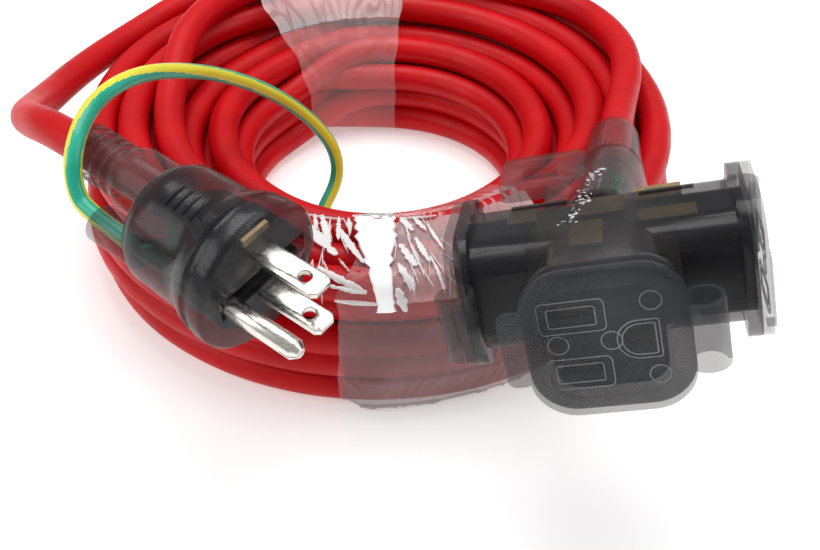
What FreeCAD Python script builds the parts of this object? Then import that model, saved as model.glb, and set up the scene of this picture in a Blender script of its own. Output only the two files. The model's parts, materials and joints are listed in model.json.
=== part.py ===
"""Outdoor extension cord: a folding-pin plug, a three-way outlet tap and a coil of red cable.

Millimetres, +Z up, standing on z = 0. Everything is laid out around the coil's centre.
"""
import FreeCAD, Part
import math
import os
import re
import Sketcher
from FreeCAD import Placement, Rotation, Vector

SIZES = dict(
    # the coil of cable and the film wrapped round it
    coil_x=-9.52, coil_y=21.85, coil_inner=42.5, coil_outer=102.5, coil_height=43.6,
    coil_round=18, film_thick=0.6, front_film_start=-107, front_film_turn=45,
    back_film_start=84, back_film_turn=44,
    # round sections
    cable_dia=9.4, lead_dia=4.2, wire_dia=3.0, bore_gap=0.05, crimp_rad=1.9,
    # the tap: three arms that end in flanges, each with an outlet core behind a cap
    tap_x=52.6, tap_y=-109.8, tap_z=67.3, tap_yaw=-6.42, tap_pitch=-15.21, tap_roll=-13.02,
    arm_side=26, arm_round=7, flange_side=32, flange_round=9, flange_thick=2.8, face_reach=29.8,
    core_side=22, core_round=5, core_front=29.5, core_back=15.5, face_plate=2,
    slot_wide=9, slot_tall=2.6, slot_shift=5.95, blade_pitch=12.7, earth_hole=3.0,
    chamber_tall=5, chamber_wide=9.6, earth_room=3.35, leaf_room=0.9, carrier_half=10,
    leaf_gap=1.05, strip_thick=0.6, strip_wide=6, earth_gap=2.5, strip_reach=27,
    plate_half=9, web_half=2, tail_half=1.5, tail_end=13, crimp_end=19,
    # the caps over the outlets, each on a hinge strap that is creased at its middle
    cap_gap=0.1, cap_thick=2.1, cap_window=24, window_round=6, window_deep=0.5,
    strap_x=18.3, strap_y=-30.3, strap_outer=4.2, strap_thick=0.9, strap_tall=14.4,
    crease_gap=0.2, tab_reach=20.5, tab_half=8.2, tab_thick=1.8,
    # the neck behind the tap and the hanging tab beside it
    neck_x=-0.6, neck_y=14.5, neck_turn=-2.8, neck_start=-3.5, neck_end=35.5,
    neck_wide=12.4, neck_narrow=8.6, cavity_wide=10.2, cavity_narrow=5.6, cavity_end=34,
    relief_end=60, relief_wide=8.4, relief_narrow=7.0,
    hang_left=-25, hang_right=-4, hang_low=6, hang_high=9.2, hang_front=27, hang_back=48,
    eye_left=-19.5, eye_right=-10.8, eye_front=35, eye_back=39.6, web_left=-13, web_right=-6, web_front=10,
    # the plug
    plug_x=-21.24, plug_y=-109.98, plug_z=65.34, plug_yaw=-37.14, plug_pitch=5.48, plug_roll=6.74,
    body_shift=-2.3, flange_rad=18.1, body_rad=15.5, body_back=-30, holder_rad=13.6,
    holder_front=-1.5, holder_back=-10, blade_thick=1.5, blade_wide=6.3, blade_reach=16.6,
    blade_hole=3.1, hole_reach=11.4, blade_root=-9, tail_root=-11.5, splice_root=-17, hollow_rad=12.9,
    pin_dia=4.8, pin_reach=20.1, pin_side=-11.9, pivot_deep=-3, pivot_rad=1.0,
    waist_half=1.6, waist_end=0.3, knuckle_rad=2.1, knuckle_half=2.0, nose_long=1.6, nose_rad=1.2,
    slit_long=4, slit_half=0.2,
    fold_half=2.75, fold_deep=-5.8, fold_low=-14.6, fold_high=11.8, ear_thick=0.6,
    boot_side=-12.5, boot_rad=4.5, boot_start=-26, boot_end=-40, lead_free=-44.5,
    grip_side=1, grip_up=2, grip_rad=8.4, grip_step=-44, grip_end=-59, rib_rad=6.9,
    rib_root=5.9, rib_pitch=3, sheath_start=-32, cable_lead=-69.5,
    splice_low=-15, splice_high=-7.2, splice_half=2.3,
    # the fork terminal on the lead's end, along the lead
    terminal_thick=1.0, fork_start=6, fork_reach=17, fork_half=3.4, fork_slot=1.8, fork_root=10.5,
    barrel_rad=1.5, sleeve_start=0.05, sleeve_reach=5.9, sleeve_wall=0.4,
)
AXES = {"x": Vector(1, 0, 0), "y": Vector(0, 1, 0), "z": Vector(0, 0, 1)}

# Free routes, as offsets from the coil's centre, by hand.
PLUG_ROUTE = [(-90.0, -51.0, 66.5), (-97.0, -36.0, 58.5), (-99.5, -15.0, 50.5), (-98.5, 5.0, 46.0),
              (-94.5, 24.0, 43.0), (-86.0, 44.0, 41.5), (-72.0, 60.0, 39.0), (-57.0, 70.5, 33.5)]
TAP_ROUTE = [(80.5, 9.5, 49.3), (76.5, 34.5, 49.0), (62.5, 56.0, 46.5), (42.0, 70.0, 41.5),
             (18.5, 76.5, 35.0)]
LEAD_ROUTE = [(-67.4, -89.0, 73.0), (-67.2, -85.0, 79.8), (-65.8, -75.0, 83.8), (-63.0, -61.5, 82.8),
              (-58.8, -47.0, 78.2), (-52.8, -33.0, 71.0), (-44.5, -20.0, 62.0), (-33.5, -10.0, 51.0),
              (-22.5, -4.8, 38.5), (-15.0, -3.4, 26.0), (-13.7, -5.2, 14.5), (-20.2, -14.1, 5.6),
              (-19.8, -25.1, 2.6), (-12.7, -33.5, 2.6), (-1.9, -35.8, 2.6)]
LEAD_END = (6.0, -33.5, 2.6)

doc = FreeCAD.newDocument("extension_cord")
sheet = doc.addObject("Spreadsheet::Sheet", "Sizes")
for row, (alias, number) in enumerate(SIZES.items(), start=1):
    sheet.set(f"A{row}", alias)
    sheet.set(f"B{row}", str(number))
    sheet.setAlias(f"B{row}", alias)
doc.recompute()

nodes = []


# ---------------------------------------------------------------- helpers

def bound(text):
    """An expression on the sheet: every word in it is an alias."""
    return re.sub(r"[a-z_]{3,}", lambda word: "Sizes." + word.group(), str(text))


def size(text):
    return float(sheet.evalExpression(bound(text)))


def block(name, *spans):
    """A box between a low and a high expression along x, y and z."""
    box = doc.addObject("Part::Box", name)
    for side, axis, (low, high) in zip(("Length", "Width", "Height"), "xyz", spans):
        box.setExpression(side, bound(f"({high}) - ({low})"))
        box.setExpression(f"Placement.Base.{axis}", bound(low))
    return box


def round_bar(kind, name, axis, low, high, across, radii):
    """A cylinder or cone from low to high along axis, its centre line at across."""
    bar = doc.addObject(kind, name)
    bar.Placement.Rotation = Rotation(AXES["z"], AXES[axis])
    bar.setExpression("Height", bound(f"({high}) - ({low})"))
    spots = dict(zip([other for other in "xyz" if other != axis], across), **{axis: low})
    for other, text in spots.items():
        bar.setExpression(f"Placement.Base.{other}", bound(text))
    for side, text in radii.items():
        bar.setExpression(side, bound(text))
    return bar


def rod(name, axis, radius, low, high, across=("0", "0")):
    return round_bar("Part::Cylinder", name, axis, low, high, across, {"Radius": radius})


def taper(name, axis, first, last, low, high, across=("0", "0")):
    return round_bar("Part::Cone", name, axis, low, high, across, {"Radius1": first, "Radius2": last})


def fuse(name, *parts):
    whole = doc.addObject("Part::MultiFuse", name)
    whole.Shapes = list(parts)
    whole.Refine = True
    return whole


def placed(name, parts, placement):
    """The same parts again at another place."""
    copy = doc.addObject("Part::Compound", name)
    copy.Links = list(parts)
    copy.Placement = placement
    return copy


def cut(name, base, *tools):
    result = doc.addObject("Part::Cut", name)
    result.Base = base
    result.Tool = tools[0] if len(tools) == 1 else fuse(name + "_tools", *tools)
    result.Refine = True
    return result


def common(name, base, tool):
    result = doc.addObject("Part::Common", name)
    result.Base = base
    result.Tool = tool
    return result


def rounded(name, base, axis, radius):
    """base with its straight edges along axis rounded."""
    doc.recompute()
    picked = [number for number, edge in enumerate(base.Shape.Edges, start=1)
              if isinstance(edge.Curve, Part.Line)
              and abs(edge.Curve.Direction.dot(AXES[axis])) > 0.999]
    fillet = doc.addObject("Part::Fillet", name)
    fillet.Base = base
    fillet.Edges = [(number, size(radius), size(radius)) for number in picked]
    return fillet


def cushion(name, axis, side, radius, low, high):
    """A slab of a rounded square, centred on the axis that it runs along."""
    spans = {other: (f"-{side} / 2", f"{side} / 2") for other in "xyz"}
    spans[axis] = (low, high)
    return rounded(name, block(name + "_block", *(spans[other] for other in "xyz")), axis, radius)


def heading(angle):
    return Placement(Vector(), Rotation(AXES["z"], angle))


def sketch_on(body, role, corners):
    """A closed outline on a plane of the body, each corner held by two expressions."""
    sketch = body.newObject("Sketcher::SketchObject", body.Name + "_outline")
    sketch.AttachmentSupport = (next(f for f in body.Origin.OriginFeatures if f.Role == role), "")
    sketch.MapMode = "FlatFace"
    spots = [Vector(size(x), size(y), 0) for x, y in corners]
    count = len(spots)
    for n in range(count):
        sketch.addGeometry(Part.LineSegment(spots[n], spots[(n + 1) % count]))
    for n in range(count):
        sketch.addConstraint(Sketcher.Constraint("Coincident", n, 2, (n + 1) % count, 1))
    for n, (corner, spot) in enumerate(zip(corners, spots)):
        for kind, text, amount, axis in zip(("DistanceX", "DistanceY"), corner, spot, (-2, -1)):
            if text == "0":
                sketch.addConstraint(Sketcher.Constraint("PointOnObject", n, 1, axis))
                continue
            number = sketch.addConstraint(Sketcher.Constraint(kind, -1, 1, n, 1, amount))
            sketch.setExpression(f"Constraints[{number}]", bound(text))
    return sketch


def turned(name, corners, role="XZ_Plane", axis="V_Axis"):
    """A PartDesign body turned from an outline about an axis of its sketch."""
    body = doc.addObject("PartDesign::Body", name)
    spin = body.newObject("PartDesign::Revolution", name + "_spin")
    spin.Profile = sketch_on(body, role, corners)
    spin.ReferenceAxis = (spin.Profile[0], [axis])
    body.Tip = spin
    return body


def cable_wire(points):
    """Straight runs joined by tangent arcs, each as large as its two runs allow."""
    spots = [Vector(*point) for point in points]
    edges = []
    start = spots[0]
    radii = []
    for before, corner, after in zip(spots, spots[1:], spots[2:]):
        into = (corner - before).normalize()
        out = (after - corner).normalize()
        half_turn = into.getAngle(out) / 2
        reach = 0.45 * min(before.distanceToPoint(corner), corner.distanceToPoint(after))
        radius = reach / math.tan(half_turn)
        inward = (out - into).normalize()
        middle = corner + inward * (radius / math.cos(half_turn) - radius)
        arc_start = corner - into * reach
        arc_end = corner + out * reach
        edges.append(Part.LineSegment(start, arc_start).toShape())
        edges.append(Part.Arc(arc_start, middle, arc_end).toShape())
        start = arc_end
        radii.append(radius)
    edges.append(Part.LineSegment(start, spots[-1]).toShape())
    return Part.Wire(edges), radii


def tube(name, points, dia, placement=Placement()):
    """A round tube along a route, checked against its section times its length."""
    path, radii = cable_wire(points)
    along = Vector(*points[1]) - Vector(*points[0])
    section = Part.Wire(Part.Circle(Vector(*points[0]), along, size(dia) / 2).toShape())
    solid = path.makePipeShell([section], True, False)
    expected = math.pi * size(dia) ** 2 / 4 * path.Length
    print(f"{name}: {path.Length:.1f} long, radii {min(radii):.0f}..{max(radii):.0f},",
          f"volume {solid.Volume / expected:.4f} of section times length")
    feature = doc.addObject("Part::Feature", name)
    feature.Shape = solid
    feature.Placement = placement
    return feature


def node(name, frame, *sources):
    """A named piece: its sources stand in its own frame, its Placement puts it in the object."""
    part = placed("node_" + name, sources, frame)
    part.Label = name
    nodes.append(part)


# ---------------------------------------------------------------- frames

coil_centre = Vector(size("coil_x"), size("coil_y"), 0)
coil_lift = Placement(coil_centre + Vector(0, 0, size("film_thick")), Rotation())


def frame_at(prefix):
    place = Vector(*(size(f"{prefix}_{axis}") for axis in "xyz")) + coil_centre
    return Placement(place, Rotation(*(size(f"{prefix}_{turn}") for turn in ("yaw", "pitch", "roll"))))


tap_frame = frame_at("tap")
plug_frame = frame_at("plug")
neck_local = Placement(Vector(size("neck_x"), size("neck_y"), 0), Rotation(AXES["z"], size("neck_turn")))
neck_frame = tap_frame * neck_local


# ---------------------------------------------------------------- coil and film

def ring(name, grow=None):
    """A ring of rounded section, grown by a size on every side."""
    less, more = (f" - {grow}", f" + {grow}") if grow else ("", "")
    inner, outer, low, high = "coil_inner" + less, "coil_outer" + more, less or "0", "coil_height" + more
    body = turned(name, [(inner, low), (outer, low), (outer, high), (inner, high)])
    doc.recompute()
    spin = body.Tip
    fillet = body.newObject("PartDesign::Fillet", name + "_round")
    fillet.Base = (spin, [f"Edge{number}" for number, edge in enumerate(spin.Shape.Edges, start=1)
                          if isinstance(edge.Curve, Part.Circle)])
    fillet.setExpression("Radius", bound("coil_round" + more))
    body.Tip = fillet
    return body


def coil_and_film():
    coil = ring("coil_solid")
    skin = cut("film_ring", ring("film_outer", "film_thick"), coil)
    node("cord_coil", coil_lift, coil)
    for side in ("front", "back"):
        sector = doc.addObject("Part::Cylinder", side + "_sector")
        for prop, text in (("Radius", "coil_outer * 1.2"), ("Height", "coil_height * 2"),
                           ("Angle", f"{side}_film_turn")):
            sector.setExpression(prop, bound(text))
        sector.Placement = Placement(Vector(0, 0, -size("coil_height") / 2),
                                     Rotation(AXES["z"], size(f"{side}_film_start")))
        node(side + "_film", coil_lift, common(side + "_band", skin, sector))


# ---------------------------------------------------------------- tap

def outlet_openings(name):
    """The two blade slots and the D-shaped earth hole of one outlet, with chambers behind them."""
    plate = "face_plate - core_front"
    parts = []
    for sign, side in (("", "line"), ("-", "neutral")):
        level = f"{sign}blade_pitch / 2"
        parts.append(block(f"{name}_{side}_slot",
                           ("-slot_shift - slot_wide / 2", "-slot_shift + slot_wide / 2"),
                           ("-core_front - 1", plate),
                           (f"{level} - slot_tall / 2", f"{level} + slot_tall / 2")))
        parts.append(block(f"{name}_{side}_chamber",
                           ("-slot_shift - chamber_wide / 2", "-slot_shift + chamber_wide / 2"),
                           (plate, "-core_back + 1"),
                           (f"{level} - chamber_tall / 2", f"{level} + chamber_tall / 2")))
    parts.append(rod(f"{name}_earth_round", "y", "earth_hole", "-core_front - 1", plate, ("slot_shift", "0")))
    parts.append(block(f"{name}_earth_flat", ("slot_shift", "slot_shift + earth_hole * 0.8"),
                       ("-core_front - 1", plate), ("-earth_hole", "earth_hole")))
    parts.append(block(f"{name}_earth_chamber", ("slot_shift - earth_room", "slot_shift + earth_room"),
                       (plate, "-core_back + 1"), ("-earth_gap - leaf_room", "earth_gap + leaf_room")))
    return parts


def busbar(name, gap, side, level):
    """A strip with a pair of leaves at each outlet, a web between the layers and a tail."""
    low = "-plate_half" if side == "-" else "plate_half - strip_wide"
    layers = []
    for sign in ("", "-"):
        inner = f"({level}) + {sign}1 * ({gap})" if sign else f"({level}) + ({gap})"
        outer = f"{inner} {'-' if sign else '+'} strip_thick"
        span = (outer, inner) if sign else (inner, outer)
        tongue = block(f"{name}_tongue{len(layers)}", (low, f"({low}) + strip_wide"),
                       ("-strip_reach", "0"), span)
        plate = block(f"{name}_plate{len(layers)}", ("-plate_half", "plate_half"),
                      ("-plate_half", "plate_half"), span)
        arms = [placed(f"{name}_arm{len(layers)}_{n}", [tongue], heading(angle))
                for n, angle in enumerate((-90, 90))]
        layers.append(fuse(f"{name}_layer{len(layers)}", tongue, plate, *arms))
    web = block(name + "_web", ("-web_half", "web_half"), ("-1", "1"),
                (f"({level}) - ({gap})", f"({level}) + ({gap})"))
    tail = block(name + "_tail", ("-tail_half", "tail_half"), ("0", "tail_end"),
                 (f"({level}) - strip_thick / 2", f"({level}) + strip_thick / 2"))
    return fuse(name, *layers, web, tail)


def cap():
    """A cap on its half of the hinge strap, with a finger tab on the free side."""
    inner = "-face_reach - cap_gap"
    outer = "-face_reach - cap_gap - cap_thick"
    slab = cushion("cap_slab", "y", "flange_side", "flange_round", outer, inner)
    window = cushion("cap_window_tool", "y", "cap_window", "window_round",
                     f"{outer} - 1", f"{outer} + window_deep")
    strap = strap_half("cap_strap", "-strap_outer - 1", "-crease_gap")
    tab = rounded("cap_tab", block("cap_tab_block", ("-tab_reach", "-flange_side / 2 + 1"),
                                   (f"{outer} + 0.1", f"{outer} + 0.1 + tab_thick"), ("-tab_half", "tab_half")),
                  "y", "2")
    return cut("cap", fuse("cap_whole", slab, strap, tab), window)


def strap_half(name, low, high):
    """The part of the strap's loop whose distance behind its centre is between low and high."""
    level = ("-strap_tall / 2", "strap_tall / 2")
    across = ("strap_x", "strap_y")
    loop = cut(name + "_loop", rod(name + "_out", "z", "strap_outer", *level, across),
               rod(name + "_in", "z", "strap_outer - strap_thick", "-strap_tall", "strap_tall", across))
    keep = block(name + "_keep", ("flange_side / 2 - 0.6", "strap_x + strap_outer + 1"),
                 (f"strap_y + ({low})", f"strap_y + ({high})"), ("-strap_tall", "strap_tall"))
    return common(name, loop, keep)


def neck_parts():
    """The neck, its hollow and the bore for the cable, as they stand behind the arms."""
    neck = taper("neck", "y", "neck_wide", "neck_narrow", "neck_start", "neck_end")
    hollow = taper("neck_hollow", "y", "cavity_wide", "cavity_narrow", "neck_start", "cavity_end")
    bore = rod("neck_bore", "y", "cable_dia / 2 + bore_gap", "neck_start", "neck_end + 1")
    return [placed(part.Name + "_set", [part], neck_local) for part in (neck, hollow, bore)]


def tap():
    core_block = cushion("core_block", "y", "core_side", "core_round", "-core_front", "-core_back")
    core_shape = cut("core", core_block, *outlet_openings("outlet"))
    pocket = cushion("core_pocket", "y", "core_side", "core_round", "-face_reach - 1", "-core_back")
    flange = cushion("flange", "y", "flange_side", "flange_round", "-face_reach", "-face_reach + flange_thick")
    shell_strap = strap_half("shell_strap", "crease_gap", "strap_outer + 1")
    cap_shape = cap()
    sides = {"front": 0, "left": -90, "right": 90}
    for side, angle in sides.items():
        node(side + "_outlet_core", tap_frame * heading(angle), core_shape)
        node(side + "_cap", tap_frame * heading(angle), cap_shape)

    bars = {"line": busbar("line_bar", "leaf_gap", "-", "blade_pitch / 2"),
            "neutral": busbar("neutral_bar", "leaf_gap", "-", "-blade_pitch / 2"),
            "earth": busbar("earth_bar", "earth_gap", "+", "0")}
    half = "core_side / 2"
    depth = ("-carrier_half", "carrier_half")
    carrier_form = fuse("carrier_form",
                        block("carrier_cross", ("-core_back", "core_back"), (f"-{half}", half), depth),
                        block("carrier_stem", (f"-{half}", half), ("-core_back", half), depth))
    node("contact_carrier", tap_frame, cut("carrier", carrier_form, *bars.values()))
    for name, bar in bars.items():
        node(name + "_busbar", tap_frame, bar)

    neck, hollow, bore = neck_parts()
    reach = "face_reach"
    arms = [cushion("cross_arm", "x", "arm_side", "arm_round", f"-{reach}", reach),
            cushion("front_arm", "y", "arm_side", "arm_round", f"-{reach}", "0")]
    end = fuse("arm_end", flange, shell_strap)
    ends = [placed(f"{side}_end", [end], heading(angle)) for side, angle in sides.items()]
    hang = rounded("hang_plate", block("hang_block", ("hang_left", "hang_right"), ("hang_front", "hang_back"),
                                       ("hang_low", "hang_high")), "z", "3")
    slot = rounded("hang_slot", block("hang_slot_block", ("eye_left", "eye_right"), ("eye_front", "eye_back"),
                                      ("hang_low - 1", "hang_high + 1")), "z", "1.5")
    web = block("hang_web", ("web_left", "web_right"), ("web_front", "hang_front + 3"),
                ("hang_low", "hang_high"))
    outside = fuse("shell_outside", *arms, *ends, neck, hang, web)
    pockets = [placed(f"{side}_pocket", [pocket], heading(angle)) for side, angle in sides.items()]
    shell = cut("tap_moulding", outside, *pockets, carrier_form, hollow, bore, slot)
    node("tap_shell", tap_frame, shell)
    node("tap_strain_relief", neck_frame,
         turned("tap_relief", [("cable_dia / 2 + bore_gap", "neck_end"), ("relief_wide", "neck_end"),
                               ("relief_narrow", "relief_end"), ("cable_dia / 2 + bore_gap", "relief_end")],
                "XY_Plane"))
    levels = {"line": "blade_pitch / 2", "neutral": "-blade_pitch / 2", "earth": "0"}
    crimps = [rod(f"tap_crimp_{name}", "y", "crimp_rad", "tail_end", "crimp_end", ("0", level))
              for name, level in levels.items()]
    node("tap_crimps", tap_frame, *crimps)
    for n, (name, level) in enumerate(levels.items()):
        across, up = core_spot(n)
        points = [Vector(0, size("crimp_end"), size(level)), Vector(0, size("crimp_end") + 4, size(level)),
                  neck_local.multVec(Vector(across, size("cavity_end") - 8, up)),
                  neck_local.multVec(Vector(across, size("cavity_end"), up))]
        node(f"tap_{name}_wire", tap_frame, tube(f"tap_wire_{name}", points, "wire_dia"))


def core_spot(n):
    """Where core n of the cable's three lies in its section: line on top, then round."""
    angle = math.radians((90, 210, 330)[n])
    spread = 0.66 * size("wire_dia")
    return spread * math.cos(angle), spread * math.sin(angle)


# ---------------------------------------------------------------- plug

def plug_outline():
    """Half the plug body's section: the face, a flange of two rings, the body and its shoulder."""
    rim = "flange_rad"
    return [("0", "0"), ("0", f"{rim} - 0.9"), ("-0.9", rim), ("-4.2", rim), ("-4.9", f"{rim} - 0.9"),
            ("-5.9", f"{rim} - 0.9"), ("-6.6", f"{rim} - 0.3"), ("-8.8", f"{rim} - 1"),
            ("-11.4", "body_rad + 0.2"), ("body_back + 4", "body_rad - 0.4"),
            ("body_back + 1.2", "body_rad - 1.8"), ("body_back", "body_rad - 3.6"), ("body_back", "0")]


def blade(name):
    """A flat blade with cut corners, a hole near its end and a narrow tail."""
    half = "blade_wide / 2"
    corners = [("blade_reach", f"-{half} + 1"), ("blade_reach", f"{half} - 1"), ("blade_reach - 1.2", half),
               ("blade_root", half), ("blade_root", "tail_half"), ("tail_root", "tail_half"),
               ("tail_root", "-tail_half"), ("blade_root", "-tail_half"), ("blade_root", f"-{half}"),
               ("blade_reach - 1.2", f"-{half}")]
    body = doc.addObject("PartDesign::Body", name)
    pad = body.newObject("PartDesign::Pad", name + "_pad")
    pad.Profile = sketch_on(body, "XY_Plane", corners)
    pad.Midplane = True
    pad.setExpression("Length", "Sizes.blade_thick")
    body.Tip = pad
    hole = rod(name + "_hole", "z", "blade_hole / 2", "-blade_thick", "blade_thick", ("hole_reach", "0"))
    return cut(name + "_drilled", body, hole)


def earth_pin():
    """The folding pin: a rod with a rounded, slit tip and a knuckle round its pivot."""
    side = ("pin_side", "0")
    rad = "pin_dia / 2"
    waist = block("pin_waist", ("pivot_deep", "waist_end + 1"), ("pin_side - waist_half", "pin_side + waist_half"),
                  ("-waist_half", "waist_half"))
    shank = rod("pin_shank", "x", rad, "waist_end", "pin_reach - nose_long", side)
    nose = taper("pin_nose", "x", rad, "nose_rad", "pin_reach - nose_long", "pin_reach", side)
    pivot = ("pivot_deep", "pin_side")
    knuckle = rod("pin_knuckle", "z", "knuckle_rad", "-knuckle_half", "knuckle_half", pivot)
    eye = rod("pin_eye", "z", "pivot_rad + bore_gap", "-pin_dia", "pin_dia", pivot)
    slit = block("pin_slit", ("pin_reach - slit_long", "pin_reach + 1"), ("pin_side - 3", "pin_side + 3"),
                 ("-slit_half", "slit_half"))
    return cut("pin", fuse("pin_whole", waist, shank, nose, knuckle), eye, slit)


def plug():
    fold = block("fold_slot", ("fold_deep", "1"), ("fold_low", "fold_high"), ("-fold_half", "fold_half"))
    blades = []
    for name, sign in (("line", 1), ("neutral", -1)):
        shape = blade(name + "_blade_body")
        blades.append(placed(name + "_blade_set", [shape],
                             Placement(Vector(0, 0, sign * size("blade_pitch") / 2), Rotation())))
        node(name + "_blade", plug_frame, blades[-1])
    node("earth_pin", plug_frame, earth_pin())
    ear = "fold_half + ear_thick"
    pivot = rod("pivot", "z", "pivot_rad", f"-{ear}", ear, ("pivot_deep", "pin_side"))
    node("pin_pivot", plug_frame, pivot)
    back = "fold_deep - ear_thick"
    cheeks = [block("bracket_form", (back, "-0.6"), ("fold_low", "-9.2"), (f"-{ear}", ear)),
              block("bracket_tail", ("tail_root", back), ("pin_side - 1.3", "pin_side + 1.3"),
                    ("-ear_thick / 2", "ear_thick / 2"))]
    bracket = cut("bracket", fuse("bracket_whole", *cheeks), fold, pivot)
    node("earth_bracket", plug_frame, bracket)
    middle = ("body_shift", "0")
    holder_form = rod("holder_form", "x", "holder_rad", "holder_back", "holder_front", middle)
    metal = [*blades, bracket, pivot, fold]
    node("blade_holder", plug_frame, cut("holder", holder_form, *metal))

    body = turned("plug_body", plug_outline(), "XY_Plane", "H_Axis")
    body_set = placed("plug_body_set", [body], Placement(Vector(0, size("body_shift"), 0), Rotation()))
    boot_form = rod("boot_form", "x", "boot_rad", "boot_end", "boot_start", ("boot_side", "0"))
    lead_bore = rod("lead_bore", "x", "lead_dia / 2 + bore_gap", "boot_end - 1", "splice_root",
                    ("boot_side", "0"))
    way = "cable_dia / 2 + 0.4"
    inside = [taper("plug_hollow", "x", way, "hollow_rad", "body_back - 1", "splice_root - 0.5", middle),
              rod("plug_chamber", "x", "hollow_rad", "splice_root - 0.6", "holder_back", middle),
              rod("cable_way", "x", way, "body_back - 1", "splice_root - 6", ("grip_side", "grip_up"))]
    moulding = cut("plug_moulding", body_set, holder_form, *metal, boot_form, lead_bore, *inside)
    node("plug_shell", plug_frame, moulding)
    node("lead_boot", plug_frame, cut("boot", boot_form, lead_bore))

    bore = "cable_dia / 2 + bore_gap"
    ribs = 5
    corners = [("body_back", bore), ("body_back", "grip_rad"), ("grip_step + 2", "grip_rad - 0.2"),
               ("grip_step", "rib_rad")]
    for n in range(ribs):
        base = f"grip_step - {n} * rib_pitch"
        corners += [(f"{base} - 1", "rib_rad - 0.1"), (f"{base} - 1.4", "rib_root"),
                    (f"{base} - 2.4", "rib_root"), (f"{base} - 2.8", "rib_rad - 0.1")]
    corners += [("grip_end", "rib_root"), ("grip_end", bore)]
    grip = turned("grip", corners, "XY_Plane", "H_Axis")
    grip_frame = plug_frame * Placement(Vector(0, size("grip_side"), size("grip_up")), Rotation())
    node("plug_strain_relief", grip_frame, grip)

    crimps = [rod(f"plug_crimp_{n}", "x", "crimp_rad", "splice_root", "tail_root", ("0", level))
              for n, level in enumerate(("blade_pitch / 2", "-blade_pitch / 2"))]
    crimps.append(block("earth_splice", ("splice_root", "tail_root"), ("splice_low", "splice_high"),
                        ("-splice_half", "splice_half")))
    node("plug_crimps", plug_frame, *crimps)
    starts = ((0, size("blade_pitch") / 2), (0, -size("blade_pitch") / 2), (-8.75, 0))
    for n, (name, start) in enumerate(zip(("line", "neutral", "earth"), starts)):
        across, up = core_spot(n)
        end = (size("grip_side") - across, size("grip_up") + up)
        back, sheath = size("splice_root"), size("sheath_start")
        points = [(back, *start), (back - 3, *start), (sheath + 3, *end), (sheath, *end)]
        node(f"plug_{name}_wire", plug_frame, tube(f"plug_wire_{name}", points, "wire_dia"))


# ---------------------------------------------------------------- cords

def around_coil(points):
    return [Vector(*point) + coil_centre for point in points]


def terminal():
    """A fork terminal on the earth lead's end, lying on the surface, and its sleeve."""
    start = Vector(*LEAD_END) + coil_centre
    along = Vector(*LEAD_END) - Vector(*LEAD_ROUTE[-1])
    frame = Placement(start, Rotation(AXES["x"], Vector(along.x, along.y, 0)))
    half = "terminal_thick / 2"
    plate = block("fork_plate", ("fork_start", "fork_reach"), ("-fork_half", "fork_half"), (f"-{half}", half))
    gap = block("fork_gap", ("fork_root", "fork_reach + 1"), ("-fork_slot", "fork_slot"), ("-2", "2"))
    end = rod("fork_end", "z", "fork_slot", "-2", "2", ("fork_root", "0"))
    barrel = rod("fork_barrel", "x", "barrel_rad", "0", "fork_start + 0.5")
    node("lead_terminal", frame, cut("fork", fuse("fork_whole", plate, barrel), gap, end))
    sleeve = rod("sleeve_form", "x", "lead_dia / 2 + sleeve_wall", "sleeve_start", "sleeve_reach")
    hollow = rod("sleeve_hollow", "x", "barrel_rad", "-1", "sleeve_reach + 1")
    node("terminal_sleeve", frame, cut("sleeve", sleeve, hollow))


def cords():
    grip = (size("grip_side"), size("grip_up"))
    side = size("boot_side")
    plug_start = [plug_frame.multVec(Vector(x, *grip)) for x in (size("sheath_start"), size("cable_lead"))]
    tap_start = [neck_frame.multVec(Vector(0, y, 0)) for y in (size("cavity_end"), 74)]
    lead_start = [plug_frame.multVec(Vector(x, side, 0)) for x in (size("splice_root"), size("lead_free"))]
    plug_cable = tube("plug_cable", plug_start + around_coil(PLUG_ROUTE), "cable_dia")
    tap_cable = tube("tap_cable", tap_start + around_coil(TAP_ROUTE), "cable_dia")
    lead = tube("lead_tube", lead_start + around_coil(LEAD_ROUTE + [LEAD_END]), "lead_dia")
    for name, piece in (("plug_end_cable", plug_cable), ("tap_end_cable", tap_cable), ("earth_lead", lead)):
        node(name, Placement(), piece)
    terminal()


# ---------------------------------------------------------------- build, check and write

coil_and_film()
tap()
plug()
cords()
doc.recompute()
for thing in doc.Objects:
    if {"Invalid", "Error"} & set(thing.State):
        raise SystemExit(f"{thing.Name} failed: {thing.State}")
os.makedirs("parts", exist_ok=True)
for part in nodes:
    shape = part.Shape
    if shape.isNull() or not shape.isValid() or not shape.Solids:
        raise SystemExit(f"{part.Label} has no valid solid")
    print(f"{part.Label}: {len(shape.Solids)} solid, {shape.Volume:.0f} cubic mm")
    shape.exportStep(f"parts/{part.Label}.step")
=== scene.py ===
"""Outdoor extension cord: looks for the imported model. Metres, in the model's own frame, +Z up."""
import json
import math
import random

import bmesh
import bpy
from mathutils import Matrix, Vector, noise


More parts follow.
